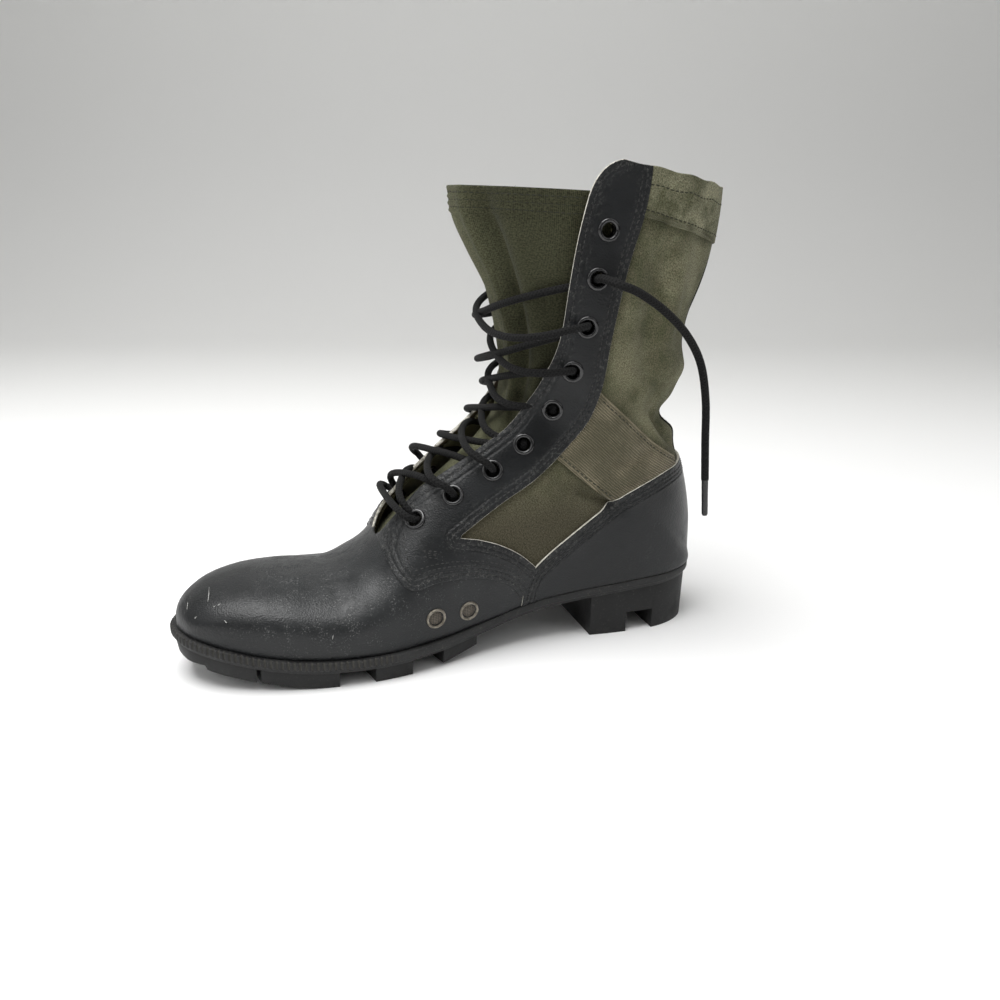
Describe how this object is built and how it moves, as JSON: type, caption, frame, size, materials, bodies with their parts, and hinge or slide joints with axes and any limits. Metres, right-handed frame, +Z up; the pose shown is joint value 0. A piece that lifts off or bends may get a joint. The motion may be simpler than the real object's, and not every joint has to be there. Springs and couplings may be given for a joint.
{
  "type": "jungle boot",
  "caption": "Laced military style boot: black leather foot, olive canvas shaft, brass drain vents, moulded lug sole with a heel.",
  "frame": {"origin": "on the floor, under the middle of the boot's box without its free lace end", "axes": "+X from toe to heel, +Y to the outer side of the foot, +Z up"},
  "size_m": [0.3155, 0.1168, 0.2632],
  "materials": {
    "canvas": "matt woven cotton canvas, olive green",
    "band": "matt doubled canvas, olive green",
    "tongue": "matt canvas, olive green",
    "webbing": "ribbed nylon webbing, olive brown",
    "backstay": "ribbed webbing strip, black",
    "leather": "smooth black leather, polished and scuffed",
    "rubber": "matt moulded black rubber",
    "insole": "matt fabric",
    "eyelet": "black enamel, worn",
    "brass": "dull, with a fine screen",
    "lace": "round black braid",
    "aglet": "black"
  },
  "bodies": {
    "root": {"upper": "canvas", "vamp": "leather", "counter": "leather", "facing_inner": "leather", "facing_outer": "leather", "collar_band": "band", "ankle_strap_inner": "webbing", "ankle_strap_outer": "webbing", "backstay": "backstay", "tongue": "tongue", "insole": "insole", "outsole": "rubber", "vent_front": "brass", "vent_rear": "brass", "lace_bar": "lace", "lace_end": "lace", "lace_tip": "aglet", "eyelet_inner_1": "eyelet", "eyelet_inner_2": "eyelet", "eyelet_inner_3": "eyelet", "eyelet_inner_4": "eyelet", "eyelet_inner_5": "eyelet", "eyelet_inner_6": "eyelet", "eyelet_inner_7": "eyelet", "eyelet_inner_8": "eyelet", "eyelet_inner_9": "eyelet", "eyelet_outer_1": "eyelet", "eyelet_outer_2": "eyelet", "eyelet_outer_3": "eyelet", "eyelet_outer_4": "eyelet", "eyelet_outer_5": "eyelet", "eyelet_outer_6": "eyelet", "eyelet_outer_7": "eyelet", "eyelet_outer_8": "eyelet", "eyelet_outer_9": "eyelet", "lace_cross_1": "lace", "lace_cross_2": "lace", "lace_cross_3": "lace", "lace_cross_4": "lace", "lace_cross_5": "lace", "lace_cross_6": "lace", "lace_cross_7": "lace"}
  },
  "joints": []
}
